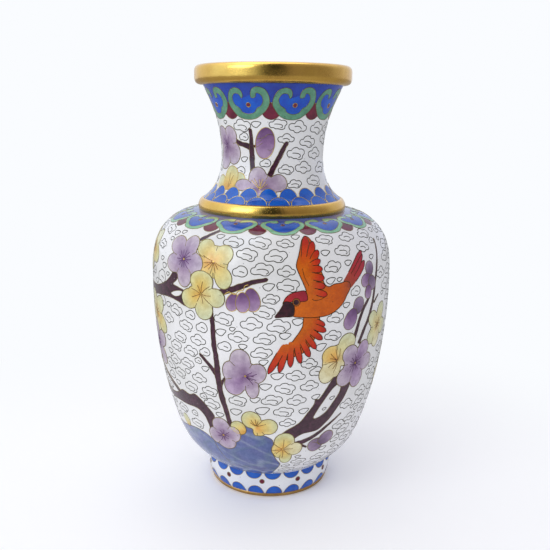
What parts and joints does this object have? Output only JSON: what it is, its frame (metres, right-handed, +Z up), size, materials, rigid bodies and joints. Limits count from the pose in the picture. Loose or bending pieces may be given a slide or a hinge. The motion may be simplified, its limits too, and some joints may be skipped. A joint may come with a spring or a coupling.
{
  "type": "cloisonne vase",
  "caption": "Baluster vase with flared neck, gilt rim, collar and foot ring, and wired enamel decoration of a bird, plum blossom, rock and clouds.",
  "frame": {"origin": "centre of the foot rim's underside, on the surface the vase stands on", "axes": "+Z up along the vase's axis to the mouth, front of the decoration (the bird) faces -Y, +X to the right of it"},
  "size_m": [0.115, 0.1148, 0.203],
  "materials": {
    "gilt": "polished gilt, lightly worn",
    "copper": "bare copper",
    "counter_enamel": "glossy turquoise",
    "white_enamel": "glossy, fine pits",
    "cobalt_enamel": "glossy",
    "scale_enamel": "glossy",
    "shoulder_enamel": "glossy",
    "green_enamel": "glossy",
    "pale_green_enamel": "glossy",
    "maroon_enamel": "glossy",
    "lilac_enamel": "glossy, shaded",
    "yellow_enamel": "glossy, shaded",
    "bud_enamel": "glossy",
    "brown_enamel": "glossy",
    "slate_enamel": "glossy, mottled",
    "orange_enamel": "glossy",
    "red_enamel": "glossy",
    "dark_red_enamel": "glossy",
    "wire": "ground flush, gilt"
  },
  "bodies": {
    "root": {"lower_body_copper": "copper", "upper_body_copper": "copper", "neck_copper": "copper", "foot_copper": "copper", "base_plate": "copper", "mouth_rim": "gilt", "neck_collar": "gilt", "foot_rim": "gilt", "neck_lining": "counter_enamel", "body_lining": "counter_enamel", "base_counter_enamel": "counter_enamel", "neck_border_enamel": "cobalt_enamel", "neck_white_enamel": "white_enamel", "neck_scale_enamel": "scale_enamel", "shoulder_border_enamel": "shoulder_enamel", "body_white_enamel": "white_enamel", "foot_white_enamel": "white_enamel", "neck_ruyi_enamel": "green_enamel", "neck_drop_enamel": "maroon_enamel", "shoulder_ruyi_enamel": "pale_green_enamel", "shoulder_drop_enamel": "maroon_enamel", "foot_scallop_enamel": "scale_enamel", "foot_dot_enamel": "maroon_enamel", "lilac_petals": "lilac_enamel", "yellow_petals": "yellow_enamel", "plum_buds": "bud_enamel", "branches": "brown_enamel", "garden_rock": "slate_enamel", "bird_feathers": "orange_enamel", "bird_wing_tips": "red_enamel", "bird_head": "dark_red_enamel", "neck_border_wires": "wire", "scale_wires": "wire", "shoulder_border_wires": "wire", "foot_wires": "wire", "blossom_wires": "wire", "branch_wires": "wire", "rock_wires": "wire", "bird_wires": "wire", "cloud_wires": "wire"}
  },
  "joints": []
}
